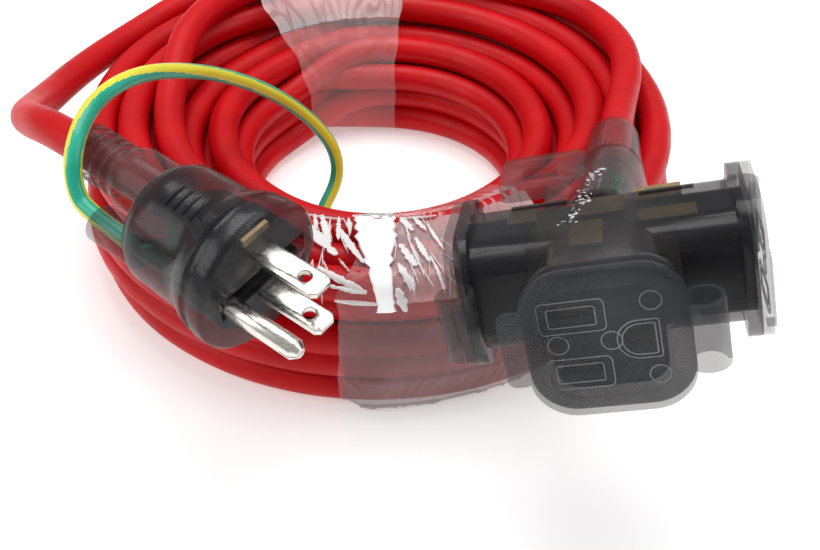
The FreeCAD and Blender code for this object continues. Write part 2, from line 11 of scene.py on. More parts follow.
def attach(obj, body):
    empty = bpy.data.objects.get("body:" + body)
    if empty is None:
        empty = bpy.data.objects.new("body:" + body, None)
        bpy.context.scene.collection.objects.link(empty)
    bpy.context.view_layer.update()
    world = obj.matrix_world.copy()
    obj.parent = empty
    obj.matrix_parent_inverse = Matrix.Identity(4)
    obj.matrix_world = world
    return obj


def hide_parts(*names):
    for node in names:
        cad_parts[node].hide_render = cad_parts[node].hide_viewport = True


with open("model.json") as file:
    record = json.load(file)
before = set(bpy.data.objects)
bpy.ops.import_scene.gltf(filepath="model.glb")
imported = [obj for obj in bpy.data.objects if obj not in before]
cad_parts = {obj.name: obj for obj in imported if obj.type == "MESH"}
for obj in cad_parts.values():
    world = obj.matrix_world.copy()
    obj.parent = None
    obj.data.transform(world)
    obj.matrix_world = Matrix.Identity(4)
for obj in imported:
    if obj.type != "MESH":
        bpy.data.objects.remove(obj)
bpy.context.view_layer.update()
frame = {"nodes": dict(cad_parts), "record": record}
MM = 0.001

# The coil's centre, and the diameters of the cable and the earth lead, as the model has them.
COIL = Vector((-9.52, 21.85, 0)) * MM
CABLE = 9.4 * MM
LEAD = 4.2 * MM

# Nodes whose look isn't named like their material slot, and where the tap's shell is clearer.
LOOKS = {"contact_carrier": "brown_carrier"}
CLEARER_FROM = 20 * MM                    # behind this, in the tap's own frame
STRAP = ((15.9, 24.0), (-31.5, -25.6))    # a hinge strap, across and along an outlet's arm, in millimetres
ARM_TURNS = {"front": 0, "left": -90, "right": 90}


def is_clearer(spot):
    """Whether a point in the tap's own frame is on the shell's thin rear or on one of its hinge straps."""
    if spot.y > CLEARER_FROM:
        return True
    for turn in ARM_TURNS.values():
        arm = Matrix.Rotation(math.radians(-turn), 4, "Z") @ spot / MM
        if all(low < value < high for (low, high), value in zip(STRAP, arm)):
            return True
    return False


# ---------------------------------------------------------------- materials

class Nodes:
    """A material's node tree, with short ways to add and join nodes."""

    def __init__(self, name):
        self.material = bpy.data.materials.new(name)
        self.material.use_nodes = True
        self.tree = self.material.node_tree
        self.shader = self.tree.nodes["Principled BSDF"]

    def add(self, kind, **values):
        node = self.tree.nodes.new(kind)
        for key, value in values.items():
            if key in node.inputs:
                node.inputs[key].default_value = value
            else:
                setattr(node, key, value)
        return node

    def link(self, source, target):
        self.tree.links.new(source, target)

    def noise(self, scale, detail=3.0, stretch=(1, 1, 1)):
        place = self.add("ShaderNodeTexCoord")
        shift = self.add("ShaderNodeMapping")
        shift.inputs["Scale"].default_value = stretch
        grain = self.add("ShaderNodeTexNoise")
        grain.inputs["Scale"].default_value = scale
        grain.inputs["Detail"].default_value = detail
        self.link(place.outputs["Object"], shift.inputs["Vector"])
        self.link(shift.outputs["Vector"], grain.inputs["Vector"])
        return grain

    def ramp(self, factor, stops):
        ramp = self.add("ShaderNodeValToRGB")
        band = ramp.color_ramp
        while len(band.elements) < len(stops):
            band.elements.new(0.5)
        for element, (place, colour) in zip(band.elements, stops):
            element.position = place
            element.color = (*colour, 1) if len(colour) == 3 else colour
        self.link(factor, ramp.inputs["Fac"])
        return ramp

    def bump(self, height, strength, distance):
        bump = self.add("ShaderNodeBump")
        bump.inputs["Strength"].default_value = strength
        bump.inputs["Distance"].default_value = distance
        self.link(height, bump.inputs["Height"])
        self.link(bump.outputs["Normal"], self.shader.inputs["Normal"])

    def set(self, **values):
        for key, value in values.items():
            self.shader.inputs[key.replace("_", " ")].default_value = value


def plastic(name, dark, light, rough, grain=(900, 0.06), stretch=(1, 1, 1), **settings):
    """Moulded plastic: colour between dark and light, a faint moulded grain and uneven gloss."""
    made = Nodes(name)
    tone = made.noise(45, 4, stretch)
    made.link(made.ramp(tone.outputs["Fac"], [(0.35, dark), (0.65, light)]).outputs["Color"],
              made.shader.inputs["Base Color"])
    gloss = made.noise(160, 3)
    low, high = (rough * 0.82,) * 3, (min(1, rough * 1.2),) * 3
    made.link(made.ramp(gloss.outputs["Fac"], [(0.3, low), (0.7, high)]).outputs["Color"],
              made.shader.inputs["Roughness"])
    fine = made.noise(grain[0], 2)
    made.bump(fine.outputs["Fac"], grain[1], 0.0004)
    made.set(**settings)
    return made.material


def metal(name, dark, light, rough, stretch=(1, 1, 1), scratch=0.08):
    """Plated or bare metal with fine drawn scratches and slightly uneven colour."""
    made = Nodes(name)
    tone = made.noise(60, 4)
    made.link(made.ramp(tone.outputs["Fac"], [(0.3, dark), (0.7, light)]).outputs["Color"],
              made.shader.inputs["Base Color"])
    lines = made.noise(500, 3, stretch)
    low, high = (rough * 0.7,) * 3, (min(1, rough * 1.4),) * 3
    made.link(made.ramp(lines.outputs["Fac"], [(0.3, low), (0.7, high)]).outputs["Color"],
              made.shader.inputs["Roughness"])
    made.bump(lines.outputs["Fac"], scratch, 0.0002)
    made.set(Metallic=1.0)
    return made.material


MATERIALS = {
    "red_sheath": plastic("red sheath", (0.44, 0.0006, 0.003), (0.54, 0.001, 0.005), 0.42,
                          Specular_IOR_Level=0.2),
    "smoke_pvc": plastic("smoked pvc", (0.010, 0.010, 0.012), (0.020, 0.020, 0.023), 0.26, (1400, 0.03),
                         Alpha=0.62, Specular_IOR_Level=0.3, Coat_Weight=0.12, Coat_Roughness=0.08),
    "clear_smoke_pvc": plastic("clear smoked pvc", (0.040, 0.042, 0.045), (0.07, 0.073, 0.077), 0.20,
                               (1400, 0.008), Alpha=0.36, Specular_IOR_Level=0.3, Coat_Weight=0.12,
                               Coat_Roughness=0.06),
    # Painted edge highlight: the caps' raised outlines are drawn a lighter grey than the clear smoked PVC they
    # are moulded in, standing in for the light caught along them.
    "painted_edge_highlight": plastic("painted edge highlight", (0.22, 0.23, 0.24), (0.34, 0.35, 0.36), 0.25, Alpha=0.6),
    "frosted": plastic("frosted marks", (0.55, 0.56, 0.57), (0.75, 0.76, 0.77), 0.5, Alpha=0.8),
    "black_core": plastic("black core", (0.008, 0.008, 0.009), (0.018, 0.018, 0.020), 0.34),
    "brown_carrier": plastic("brown carrier", (0.11, 0.08, 0.062), (0.19, 0.145, 0.115), 0.4),
    "black_insulation": plastic("black insulation", (0.008, 0.008, 0.009), (0.02, 0.02, 0.02), 0.4),
    "white_insulation": plastic("white insulation", (0.74, 0.73, 0.70), (0.82, 0.81, 0.79), 0.4),
    "green_insulation": plastic("green insulation", (0.01, 0.24, 0.11), (0.02, 0.33, 0.16), 0.4),
    "green_yellow_insulation": plastic("green of the lead", (0.0, 0.33, 0.20), (0.01, 0.43, 0.28), 0.34),
    "yellow_stripe": plastic("yellow stripe", (0.66, 0.60, 0.03), (0.78, 0.72, 0.05), 0.36),
    "brass_strip": metal("brass strip", (0.50, 0.33, 0.15), (0.66, 0.48, 0.25), 0.34),
    "nickel_plate": metal("nickel plate", (0.66, 0.62, 0.56), (0.82, 0.79, 0.74), 0.26, (1, 1, 8)),
    "tinned_crimp": metal("tinned copper", (0.58, 0.56, 0.52), (0.72, 0.70, 0.66), 0.36),
    "steel_pin": metal("steel", (0.50, 0.50, 0.50), (0.62, 0.62, 0.62), 0.30),
    "clear_film": plastic("clear film", (0.80, 0.78, 0.78), (0.95, 0.93, 0.93), 0.10, (500, 0.10),
                          Alpha=0.13, Coat_Weight=0.8, Coat_Roughness=0.04),
    "hazy_film": plastic("hazy film", (0.72, 0.66, 0.68), (0.90, 0.86, 0.86), 0.16, (500, 0.14),
                         Alpha=0.36, Coat_Weight=0.6, Coat_Roughness=0.06),
    "grey_film": plastic("grey film", (0.16, 0.135, 0.145), (0.30, 0.26, 0.27), 0.22, (500, 0.14),
                         Alpha=0.5, Coat_Weight=0.3, Coat_Roughness=0.1),
    # Painted highlight: white, half-opaque strips on the film's creases, standing in for the light reflected
    # off them.
    "painted_fold_highlight": plastic("painted fold highlight", (0.95, 0.94, 0.94), (1.0, 1.0, 1.0), 0.30, (500, 0.06),
                           Alpha=0.64),
    # Painted glare: a faintly glowing white strip standing in for the light's reflection off the front film.
    "painted_glare_strip": plastic("painted glare", (0.97, 0.97, 0.97), (1.0, 1.0, 1.0), 0.35, (500, 0.03),
                          Emission_Color=(1, 1, 1, 1), Emission_Strength=0.2),
}


# ---------------------------------------------------------------- pieces

def link_new(name, data, body="root"):
    piece = bpy.data.objects.new(name, data)
    bpy.context.scene.collection.objects.link(piece)
    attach(piece, body)
    return piece


def mesh_piece(name, corners, faces, material, body="root"):
    mesh = bpy.data.meshes.new(name)
    mesh.from_pydata(corners, [], faces)
    mesh.validate()
    for polygon in mesh.polygons:
        polygon.use_smooth = True
    mesh.materials.append(material)
    return link_new(name, mesh, body)


def open_spline(name, points, resolution):
    """A curve with one open NURBS spline over the route's points."""
    curve = bpy.data.curves.new(name, "CURVE")
    curve.dimensions = "3D"
    spline = curve.splines.new("NURBS")
    spline.points.add(len(points) - 1)
    for spot, point in zip(spline.points, points):
        spot.co = (*point, 1)
    spline.order_u = 3
    spline.use_endpoint_u = True
    curve.resolution_u = resolution
    return curve


def spline_curve(name, points, dia, material):
    """A round cord along the route's own spline."""
    curve = open_spline(name, points, 6)
    curve.bevel_depth = dia / 2
    curve.bevel_resolution = 7
    curve.use_fill_caps = True
    curve.materials.append(material)
    return link_new(name, curve, "root")


def line_of(points):
    """The points of the route's own NURBS spline, with no section."""
    curve = open_spline("line", points, 10)
    holder = bpy.data.objects.new("line", curve)
    mesh = bpy.data.meshes.new_from_object(holder)
    line = [vertex.co.copy() for vertex in mesh.vertices]
    bpy.data.objects.remove(holder)
    bpy.data.curves.remove(curve)
    bpy.data.meshes.remove(mesh)
    return line


EDGE = 0.2 * MM           # width of the softened edges
EDGE_ANGLE = 38           # degrees: sharper edges than this are softened
CAP_CLEARANCE = 0.03 * MM  # keeps a closed cap's faces off the faces that it rests on


def dress(node, bevel=EDGE):
    """Material, smooth shading and softened edges for a CAD node that stays in view."""
    thing = frame["nodes"][node]
    slots = {entry["node"]: entry["material_slot"] for entry in frame["record"]["subparts"]}
    material = MATERIALS[LOOKS.get(node, slots[node])]
    thing.data.materials.clear()
    thing.data.materials.append(material)
    for polygon in thing.data.polygons:
        polygon.use_smooth = True
        polygon.material_index = 0
    if node == "tap_shell":
        thing.data.materials.append(MATERIALS["clear_smoke_pvc"])
        to_tap = TAP.inverted() @ thing.matrix_world
        for polygon in thing.data.polygons:
            if is_clearer(to_tap @ polygon.center):
                polygon.material_index = 1
    weld = thing.modifiers.new("weld", "WELD")
    weld.merge_threshold = 1e-6
    if node.endswith("_cap"):
        clearance = thing.modifiers.new("clearance", "DISPLACE")
        clearance.mid_level = 0
        clearance.strength = -CAP_CLEARANCE
    if bevel:
        soft = thing.modifiers.new("soft edges", "BEVEL")
        soft.width = bevel
        soft.segments = 2
        soft.limit_method = "ANGLE"
        soft.angle_limit = math.radians(EDGE_ANGLE)
        soft.harden_normals = True
    return thing


# ---------------------------------------------------------------- routes

def rotation(yaw, pitch, roll):
    turns = (("Z", yaw), ("Y", pitch), ("X", roll))
    result = Matrix.Identity(4)
    for axis, angle in turns:
        result = result @ Matrix.Rotation(math.radians(angle), 4, axis)
    return result


def around_coil(*offset):
    return COIL + Vector(offset) * MM


PLUG = Matrix.Translation(around_coil(-21.24, -109.98, 65.34)) @ rotation(-37.14, 5.48, 6.74)
TAP = Matrix.Translation(around_coil(52.6, -109.8, 67.3)) @ rotation(-6.42, -15.21, -13.02)
NECK = TAP @ Matrix.Translation(Vector((-0.6, 14.5, 0)) * MM) @ Matrix.Rotation(math.radians(-2.8), 4, "Z")

# Each route starts straight, inside the moulding that holds it.
PLUG_ROUTE = [PLUG @ (Vector((x, 1, 2)) * MM) for x in (-32, -69.5)] + [
    around_coil(*spot) for spot in (
        (-90.0, -51.0, 66.5), (-97.0, -36.0, 58.5), (-99.5, -15.0, 50.5), (-98.5, 5.0, 46.0),
        (-94.5, 24.0, 43.0), (-86.0, 44.0, 41.5))]
TAP_ROUTE = [NECK @ (Vector((0, y, 0)) * MM) for y in (34, 74)] + [
    around_coil(*spot) for spot in (
        (80.5, 9.5, 49.3), (76.5, 34.5, 49.0), (62.5, 56.0, 48.5))]
LEAD_ROUTE = [PLUG @ (Vector((x, -12.5, 0)) * MM) for x in (-17, -44.5)] + [
    around_coil(*spot) for spot in (
        (-67.4, -89.0, 73.0), (-67.2, -85.0, 79.8), (-65.8, -75.0, 83.8), (-63.0, -61.5, 82.8),
        (-58.8, -47.0, 78.2), (-52.8, -33.0, 71.0), (-44.5, -20.0, 62.0), (-33.5, -10.0, 51.0),
        (-22.5, -4.8, 38.5), (-15.0, -3.4, 26.0), (-13.7, -5.2, 14.5), (-20.2, -14.1, 5.6),
        (-19.8, -25.1, 2.6), (-12.7, -33.5, 2.6), (-1.9, -35.8, 2.6), (6.0, -33.5, 2.6))]


# ---------------------------------------------------------------- camera, floor and light

CAMERA_PLACE = around_coil(9.8, -271.6, 208.5)
LOOKS_DOWN = 41.7         # degrees
LENS, SENSOR = 43.33, 36  # millimetres
WHITE = (1, 1, 1, 1)


def camera():
    data = bpy.data.cameras.new("camera")
    data.sensor_width = SENSOR
    data.lens = LENS
    data.clip_start = 0.01
    holder = bpy.data.objects.new("camera", data)
    bpy.context.scene.collection.objects.link(holder)
    holder.location = CAMERA_PLACE
    holder.rotation_euler = (math.radians(90 - LOOKS_DOWN), 0, 0)
    bpy.context.scene.camera = holder


def floor():
    mesh = bpy.data.meshes.new("floor")
    reach = 3.0
    mesh.from_pydata([(-reach, -reach, 0), (reach, -reach, 0), (reach, reach, 0), (-reach, reach, 0)], [],
                     [(0, 1, 2, 3)])
    made = Nodes("pale floor")
    made.set(Base_Color=(0.8, 0.8, 0.8, 1), Roughness=0.8, Emission_Color=WHITE, Emission_Strength=0.36)
    mesh.materials.append(made.material)
    plane = bpy.data.objects.new("floor", mesh)
    bpy.context.scene.collection.objects.link(plane)


# Each softbox: where it is, where it points, its two sides in metres, and its power in watts.
SOFTBOXES = {"top softbox": ((0.0, 0.25, 0.9), (0, 0.0, 0.03), (0.9, 0.6), 8.0),
             "left softbox": ((-0.75, -0.25, 0.55), (0, 0, 0.04), (0.5, 0.6), 3.0),
             "right softbox": ((0.8, -0.15, 0.5), (0, 0, 0.04), (0.4, 0.6), 2.2)}
WORLD_STRENGTH = 0.36


def area_light(name, place, aim, size, power):
    data = bpy.data.lights.new(name, "AREA")
    data.shape = "RECTANGLE"
    data.size, data.size_y = size
    data.energy = power
    holder = bpy.data.objects.new(name, data)
    bpy.context.scene.collection.objects.link(holder)
    holder.location = place
    holder.rotation_euler = (Vector(aim) - Vector(place)).to_track_quat("-Z", "Y").to_euler()


def lights():
    for name, settings in SOFTBOXES.items():
        area_light(name, *settings)
    world = bpy.data.worlds.new("studio")
    world.use_nodes = True
    background = world.node_tree.nodes["Background"]
    background.inputs["Color"].default_value = WHITE
    background.inputs["Strength"].default_value = WORLD_STRENGTH
    bpy.context.scene.world = world
    bpy.context.scene.view_settings.view_transform = "Standard"


# ---------------------------------------------------------------- the coil of cable

POINTS_PER_TURN = 20
COIL_START = 136.0       # the angle where the plug's cable joins the outermost turn, in degrees
# Each turn's radius and height, in millimetres: the first, which soon drops, then the layers, then the last.
FIRST_TURN = (97.0, 41.5)
LOWERED_TURN = (89.5, 14.6)
LAST_TURN = (79.5, 48.7)
LAYERS = ((5.4, (88.0, 77.8, 67.5, 57.3, 47.0)), (13.7, (49.5, 59.7, 69.9, 80.0)),
          (22.0, (88.0, 77.8, 67.5, 57.3, 47.0)), (30.3, (52.2, 62.4, 72.6, 82.8)),
          (39.7, (86.5, 76.4, 66.5)))
DROP = (20, 165)          # degrees travelled while the first turn drops
STEP_OVER = 42            # degrees travelled while a turn moves over to its neighbour's place
LOOSE_SIDE = 188          # the angle at which the turns lie most loosely
MIDDLE_RADIUS = 72.4      # of the bundle, in millimetres


def smooth(low, high, value):
    t = min(1, max(0, (value - low) / (high - low)))
    return t * t * (3 - 2 * t)


def swell(angle, middle, width):
    """1 at the middle angle, falling smoothly to 0 at width degrees either side."""
    away = abs((angle - middle + 180) % 360 - 180)
    return 1 - smooth(0, width, away)


def coil_moves():
    """Where along the winding the cable moves: from and to in degrees, then radius and height."""
    radius, height = LOWERED_TURN
    moves = [(*DROP, radius - FIRST_TURN[0], height - FIRST_TURN[1])]
    turn = 0
    for next_height, radii in LAYERS:
        for next_radius in radii:
            turn += 360
            moves.append((turn, turn + STEP_OVER, next_radius - radius, next_height - height))
            radius, height = next_radius, next_height
    turn += 360
    moves.append((turn - 52, turn - 12, 0, LAST_TURN[1] - height))
    moves.append((turn - 44, turn + 14, LAST_TURN[0] - radius, 0))
    return moves, turn + 54


def coil_points():
    """The cable's turns, clockwise from the plug's end to the tap's."""
    moves, total = coil_moves()
    outward = 1 / math.cos(math.pi / POINTS_PER_TURN) ** 0.9
    step = 360 / POINTS_PER_TURN
    points = []
    for n in range(int(total / step) + 1):
        travelled = n * step
        angle = COIL_START - travelled
        r, z = FIRST_TURN
        for start, end, across, up in moves:
            share = smooth(start, end, travelled)
            r += across * share
            z += up * share
        wander = Vector((travelled * 0.013, 2.3, 0.7))
        r += (0.9 + 0.03 * z) * noise.noise(wander)
        z += (0.4 + 0.02 * z) * noise.noise(wander + Vector((0, 5.1, 0)))
        loose = swell(angle, LOOSE_SIDE, 78)
        r = MIDDLE_RADIUS + (r - MIDDLE_RADIUS) * (1 + 0.05 * loose)
        z += 0.08 * max(0, z - 20) * loose
        across = math.radians(angle)
        points.append(COIL + Vector((math.cos(across) * r, math.sin(across) * r, 0)) * MM * outward
                      + Vector((0, 0, max(z, CABLE / MM / 2 + 0.1))) * MM)
    return points


def cable():
    points = PLUG_ROUTE + coil_points() + list(reversed(TAP_ROUTE))
    line = line_of(points)
    piece = spline_curve("red_cable", points, CABLE, MATERIALS["red_sheath"])
    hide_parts("cord_coil", "plug_end_cable", "tap_end_cable")


STRIPE_HALF = 0.115       # half of a stripe's width, as a share of the way round the lead


def tube_mesh(name, line, radius, sides, materials, stripe, body):
    """A tube swept along line, with two stripes, opposite each other, of the second material.

    stripe gives a stripe's middle, as a share of the way round, from the share of the length.
    """
    corners, faces, kinds = [], [], []
    up = Vector((0, 0, 1))
    for n, spot in enumerate(line):
        along = (line[min(n + 1, len(line) - 1)] - line[max(n - 1, 0)]).normalized()
        up = (up - along * up.dot(along)).normalized()
        side = along.cross(up)
        for k in range(sides):
            turn = 2 * math.pi * k / sides
            corners.append(spot + (up * math.cos(turn) + side * math.sin(turn)) * radius)
    for n in range(len(line) - 1):
        for k in range(sides):
            ring, following = n * sides, (n + 1) * sides
            faces.append((ring + k, ring + (k + 1) % sides, following + (k + 1) % sides, following + k))
            away = abs(((k + 0.5) / sides - stripe(n / len(line)) + 0.25) % 0.5 - 0.25)
            kinds.append(1 if away < STRIPE_HALF else 0)
    faces += [tuple(range(sides))[::-1], tuple(range(len(corners) - sides, len(corners)))]
    kinds += [0, 0]
    mesh = bpy.data.meshes.new(name)
    mesh.from_pydata(corners, [], faces)
    for material in materials:
        mesh.materials.append(material)
    for polygon, kind in zip(mesh.polygons, kinds):
        polygon.material_index = kind
        polygon.use_smooth = True
    return link_new(name, mesh, body)


def earth_lead():
    line = line_of(LEAD_ROUTE)

    def stripe(share):
        return -0.304 + 0.464 * smooth(0.08, 0.55, share)

    piece = tube_mesh("green_yellow_lead", line, LEAD / 2, 48,
                      (MATERIALS["green_yellow_insulation"], MATERIALS["yellow_stripe"]), stripe,
                      "root")
    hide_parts("earth_lead")


# ---------------------------------------------------------------- the film

FILM_GAP = 5.1           # from a cable's centre to the film lying on it, in millimetres
# The outermost cables of the bundle's section, each radius and height, in millimetres.
FRONT_HULL = ((88.0, 5.4), (89.5, 14.6), (86.5, 39.7), (66.5, 39.7), (52.2, 30.3), (47.0, 22.0), (47.0, 5.4))
BACK_HULL = ((88.0, 5.4), (97.0, 37.0), (97.0, 41.5), (79.5, 48.7), (52.2, 30.3), (47.0, 22.0), (47.0, 5.4))
# Each band: its hull, the angle where it starts on the outer wall, how far it reaches, how far its edge slants,
# and the angles from which its outer wall is grey and its top is hazy, all in degrees; then its own crumpling.
BANDS = {"front": (FRONT_HULL, -95.5, 37.0, 12.0, -95.5, -86.3, 1.7),
         "back": (BACK_HULL, 84.0, 44.0, 0.0, 60.0, 60.0, 4.2)}
FILM_CELLS = (130, 300)  # across a band and round it
ARC_STEPS = 8            # round each outermost cable
OUTER_WALL_TOP = 31      # the height below which the outer wall is grey, in millimetres
HAZY = (58, 38.5)        # the radius and height above which the top is hazy, in millimetres
CREASE = 0.5             # height of the film's creases, in millimetres
SLACK = 2.6              # how far the film hangs off the bundle's lower outer corner, in millimetres


def outline(hull, count):
    """The taut outline round the cables' centres: count points, each radius, height and outward way."""
    rough = []
    for n, (r, z) in enumerate(hull):
        before, after = hull[n - 1], hull[(n + 1) % len(hull)]
        first = math.atan2(before[0] - r, z - before[1])
        last = math.atan2(r - after[0], after[1] - z)
        if last < first - 1e-6:
            last += 2 * math.pi
        for k in range(ARC_STEPS + 1):
            turn = first + (last - first) * k / ARC_STEPS
            way = (math.cos(turn), math.sin(turn))
            rough.append((r + way[0] * FILM_GAP, z + way[1] * FILM_GAP, *way))
    lengths = [0]
    for one, two in zip(rough, rough[1:] + rough[:1]):
        lengths.append(lengths[-1] + math.dist(one[:2], two[:2]))
    section, n = [], 0
    for k in range(count):
        travelled = lengths[-1] * k / count
        while lengths[n + 1] < travelled:
            n += 1
        share = (travelled - lengths[n]) / max(1e-9, lengths[n + 1] - lengths[n])
        one, two = rough[n], rough[(n + 1) % len(rough)]
        section.append(tuple(a + (b - a) * share for a, b in zip(one, two)))
    return section


def on_coil(angle, r, z):
    turn = math.radians(angle)
    return COIL + Vector((math.cos(turn) * r, math.sin(turn) * r, max(0.1, z))) * MM


def film(side, hull, start, reach, slant, grey_from, hazy_from, seed):
    """A band of thin clear film shrunk round the bundle, hazy on top and greyish down the outer wall."""
    across, around = FILM_CELLS
    corners, faces, kinds = [], [], []
    section = outline(hull, around)
    for i in range(across + 1):
        u = i / across
        for r, z, out_r, out_z in section:
            edge = 1.2 * noise.noise(Vector((r * 0.12, z * 0.12, seed + 3.0 * round(u)))) * abs(2 * u - 1)
            angle = start + reach * u - slant * (r - 94) / 50 + edge
            low_corner = swell(math.degrees(math.atan2(out_z, out_r)), -35, 55)
            loose = low_corner * smooth(0, 0.12, u) * (1 - u)
            bend = 1.5 * noise.noise(Vector((u * 3, z * 0.1, seed)))
            folds = noise.noise(Vector((u * 15 + bend, r * 0.05 + z * 0.04, seed)))
            crumple = 0.35 * abs(noise.noise(Vector((u * 6, r * 0.1 + z * 0.1, seed))))
            off = crumple + CREASE * max(0, 1 - 5 * abs(folds)) + SLACK * loose
            if out_z < -0.9:
                off = 0
            corners.append(on_coil(angle, r + out_r * off, z + out_z * off))
            if i == across:
                continue
            wave = 1.5 * noise.noise(Vector((r * 0.05, z * 0.06, seed)))
            if out_r > 0.5 and z < OUTER_WALL_TOP + wave:
                kinds.append(2 if angle > grey_from + wave else 0)
            else:
                on_top = out_z > 0.1 and HAZY[0] < r and z > HAZY[1]
                kinds.append(1 if on_top and angle > hazy_from + wave else 0)
    for i in range(across):
        for j in range(around):
            first, second = i * around + j, i * around + (j + 1) % around
            faces.append((first, second, second + around, first + around))
    piece = mesh_piece(side + "_wrap", corners, faces, MATERIALS["clear_film"], "root")
    piece.data.materials.append(MATERIALS["hazy_film"])
    piece.data.materials.append(MATERIALS["grey_film"])
    for polygon, kind in zip(piece.data.polygons, kinds):
        polygon.material_index = kind
    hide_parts(side + "_film")


SLOPE = 1.12             # a step down the outer wall looks, from the front, like this much step outward
DEPTH_LEVEL = 45         # the height at which a depth is a plain radius, in millimetres
# The glare's stations and the folds' two ends, each as depth in millimetres and angle in degrees, with
# a width in millimetres. A depth is a radius, plus the step down below DEPTH_LEVEL times SLOPE. The glare is a
# painted reflection of the light, and the folds are creases drawn white as a painted highlight.
GLARE = (((64.8, -89.7), 11.9), ((66.0, -89.6), 11.6), ((72.0, -89.3), 9.9), ((82.0, -88.8), 7.6),
         ((92.0, -88.1), 5.2), ((98.0, -87.7), 4.6), ((101.5, -87.6), 5.0))
FOLDS = (((66.6, -101.8), (77.5, -98.0), 2.0), ((66.6, -103.6), (72.5, -101.6), 1.3),
         ((66.6, -97.8), (76.0, -96.6), 1.3), ((67.2, -106.0), (67.6, -96.5), 1.0),
         ((71.5, -103.2), (82.0, -96.2), 3.0), ((71.5, -96.8), (84.5, -91.2), 2.2),
         ((66.6, -95.6), (73.0, -94.6), 1.1), ((87.0, -98.8), (94.2, -90.6), 2.2),
         ((92.2, -97.6), (94.6, -90.6), 1.5), ((97.4, -95.6), (98.3, -88.6), 1.8),
         ((67.0, -84.0), (67.6, -75.5), 0.9), ((66.8, -83.6), (72.5, -81.6), 2.2),
         ((66.8, -80.8), (73.0, -78.8), 1.5), ((75.5, -81.4), (85.5, -80.0), 1.7),
         ((77.5, -84.6), (86.5, -82.4), 2.6), ((85.0, -85.4), (94.0, -83.2), 2.2),
         ((93.0, -85.8), (101.5, -84.6), 2.6), ((70.5, -78.2), (82.0, -76.8), 1.1),
         ((83.0, -79.7), (96.0, -78.4), 0.9), ((66.6, -86.4), (79.0, -85.4), 0.9),
         ((74.0, -83.0), (90.0, -81.4), 0.7))


FINE_FOLDS = 46
FOLD_STEPS = 6           # stations along a fold, less one
ROWS_PER_STEP = 5        # rows of corners from one station to the next
COLUMNS = 8              # cells across a strip
UNDERSIDE = 0.85         # how far a strip's underside and its edges lie off the taut outline, in millimetres
TOPSIDE = 1.0
THICK_MIDDLE, THICK_END = 0.2, 0.1
RAGGED = 0.6             # how much a strip's width wanders, as a share of it


def depth_of(r, z):
    return r + (DEPTH_LEVEL - z) * SLOPE


def fine_folds():
    """Thin creases either side of the glare, each drawn as a streak of painted highlight, as two ends and a
    width.
    """
    rng = random.Random(11)
    folds = []
    for n in range(FINE_FOLDS):
        depth, angle = rng.uniform(66.4, 90), rng.choice((rng.uniform(-103, -94), rng.uniform(-85.5, -76)))
        far = (depth + rng.uniform(3, 9), angle + rng.uniform(-0.6, 2.4))
        folds.append(((depth, angle), far, rng.uniform(0.25, 0.7)))
    return folds


def fold_stations(near, far, wide):
    """A fold's stations from its two ends: narrow at both, widest in the middle."""
    stations = []
    for k in range(FOLD_STEPS + 1):
        place = tuple(one + (two - one) * k / FOLD_STEPS for one, two in zip(near, far))
        stations.append((place, wide * (0.25 + 0.75 * math.sin(math.pi * (k + 0.4) / 6.8))))
    return stations


def strip_rows(stations):
    """Depth, angle and width of each row of a strip, evenly between its stations."""
    rows = []
    for one, two in zip(stations, stations[1:]):
        for k in range(ROWS_PER_STEP):
            t = k / ROWS_PER_STEP
            rows.append((*(a + (b - a) * t for a, b in zip(one[0], two[0])), one[1] + (two[1] - one[1]) * t))
    rows.append((*stations[-1][0], stations[-1][1]))
    return rows


def film_folds():
    """Creases drawn white as a painted highlight, and the glare as a faintly glowing painted reflection of the
    light, on the front film: closed lens-shaped strips lying on it.
    """
    seen = [spot for spot in outline(FRONT_HULL, 600) if spot[3] > -0.2 and (spot[3] > 0.3 or spot[0] > 80)]
    seen.sort(key=lambda spot: depth_of(*spot[:2]))
    depths = [depth_of(*spot[:2]) for spot in seen]

    def lying(depth, angle, lift):
        n = min(range(len(depths)), key=lambda k: abs(depths[k] - depth))
        r, z, out_r, out_z = seen[n]
        return on_coil(angle, r + out_r * lift, z + out_z * lift)

    corners, faces, kinds = [], [], []
    ring = 2 * COLUMNS
    strips = [GLARE] + [fold_stations(*fold) for fold in (*FOLDS, *fine_folds())]
    for number, stations in enumerate(strips):
        rows = strip_rows(stations)
        last = len(rows) - 1
        base = len(corners)
        for n, (depth, angle, wide) in enumerate(rows):
            before, after = rows[max(0, n - 1)], rows[min(last, n + 1)]
            along = (after[0] - before[0], math.radians(after[1] - before[1]) * depth)
            size = math.hypot(*along)
            side = (-along[1] / size, along[0] / size)
            rag = RAGGED * noise.noise(Vector((depth * 1.1, number * 3.1, 1.0)))
            for k in range(ring):
                top = k <= COLUMNS
                share = k / COLUMNS if top else 2 - k / COLUMNS
                step = (share - 0.5) * wide * (1 + rag)
                thick = math.sin(math.pi * share) * (THICK_MIDDLE if 0 < n < last else THICK_END)
                corners.append(lying(depth + side[0] * step, angle + math.degrees(side[1] * step / depth),
                                     TOPSIDE + thick if top else UNDERSIDE))
        for n in range(last):
            for k in range(ring):
                first, second = base + n * ring + k, base + n * ring + (k + 1) % ring
                faces.append((first, second, second + ring, first + ring))
        faces.append(tuple(range(base, base + ring))[::-1])
        faces.append(tuple(range(len(corners) - ring, len(corners))))
        # The first strip, the glare, takes the glowing painted glare; the folds take the white painted
        # highlight.
        kinds += [0 if number else 1] * (len(faces) - len(kinds))
    piece = mesh_piece("front_wrap_folds", corners, faces, MATERIALS["painted_fold_highlight"], "root")
    piece.data.materials.append(MATERIALS["painted_glare_strip"])
    for polygon, kind in zip(piece.data.polygons, kinds):
        polygon.material_index = kind


# ---------------------------------------------------------------- moulded detail

